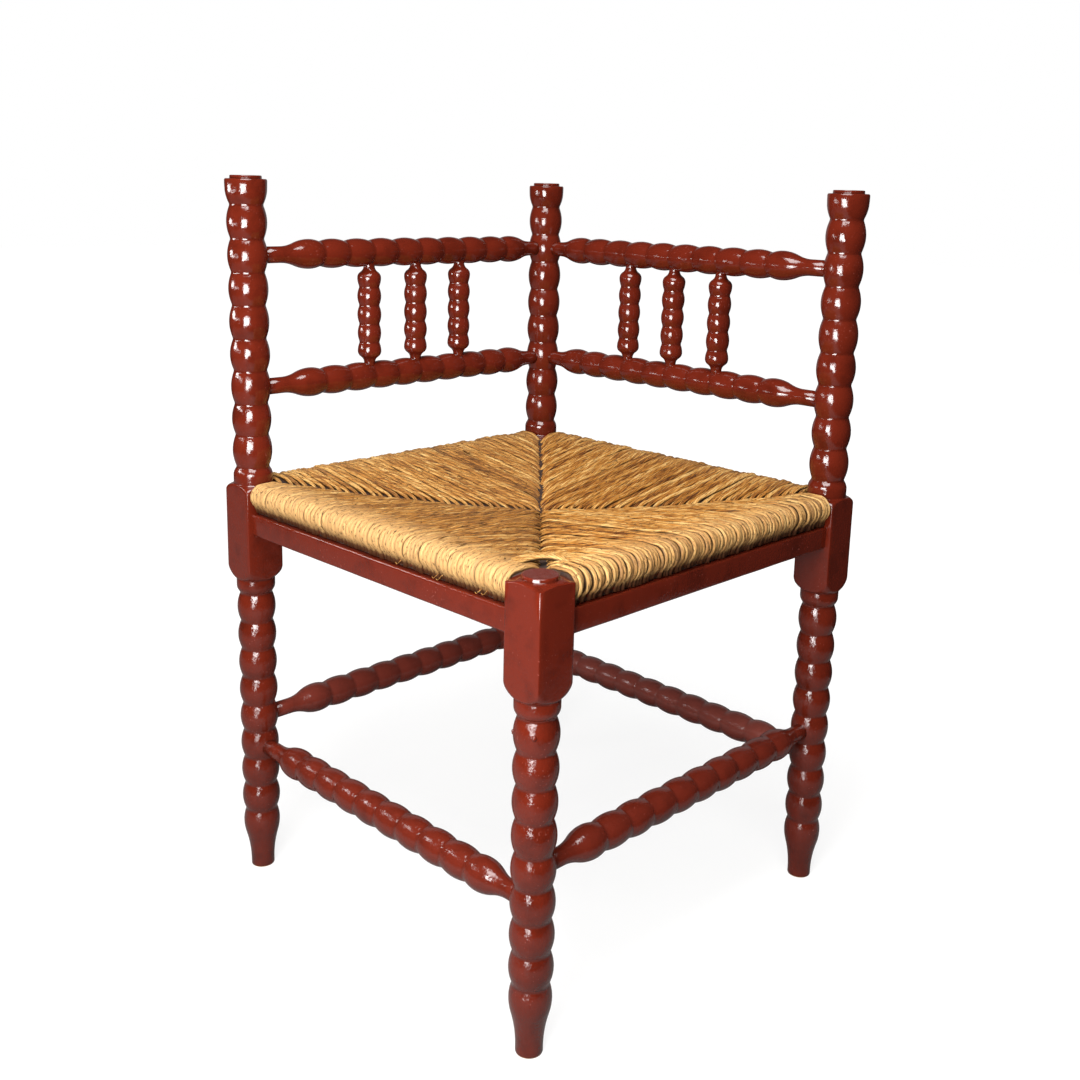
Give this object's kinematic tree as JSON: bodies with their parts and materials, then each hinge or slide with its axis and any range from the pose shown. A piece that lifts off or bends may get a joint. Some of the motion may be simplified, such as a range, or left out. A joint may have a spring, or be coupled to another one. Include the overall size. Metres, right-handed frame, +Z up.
{
  "type": "corner chair",
  "caption": "Bobbin-turned corner chair: a square rush seat used corner first, a short front post, and a low railed and spindled back along the two rear sides.",
  "frame": {"origin": "middle of the square plan, at floor level", "axes": "+Z up; the seat's sides run along X and Y; the front corner points to -X -Y, and the back runs along the +X and the +Y sides"},
  "size_m": [0.4746, 0.4746, 0.7633],
  "materials": {
    "painted_wood": "thick gloss oil paint, oxblood red-brown",
    "rush": "natural rush cord, hand twisted, straw coloured",
    "straw": "loose straw stuffing, hidden"
  },
  "bodies": {
    "root": {"front_post": "painted_wood", "left_post": "painted_wood", "right_post": "painted_wood", "back_post": "painted_wood", "left_top_rail": "painted_wood", "right_top_rail": "painted_wood", "left_lower_rail": "painted_wood", "right_lower_rail": "painted_wood", "left_spindle_1": "painted_wood", "left_spindle_2": "painted_wood", "left_spindle_3": "painted_wood", "right_spindle_1": "painted_wood", "right_spindle_2": "painted_wood", "right_spindle_3": "painted_wood", "front_left_stretcher": "painted_wood", "front_right_stretcher": "painted_wood", "back_left_stretcher": "painted_wood", "back_right_stretcher": "painted_wood", "front_left_seat_rail": "painted_wood", "front_right_seat_rail": "painted_wood", "back_left_seat_rail": "painted_wood", "back_right_seat_rail": "painted_wood", "front_left_apron": "painted_wood", "front_right_apron": "painted_wood", "back_left_apron": "painted_wood", "back_right_apron": "painted_wood", "rush_seat": "rush", "seat_padding": "straw"}
  },
  "joints": []
}
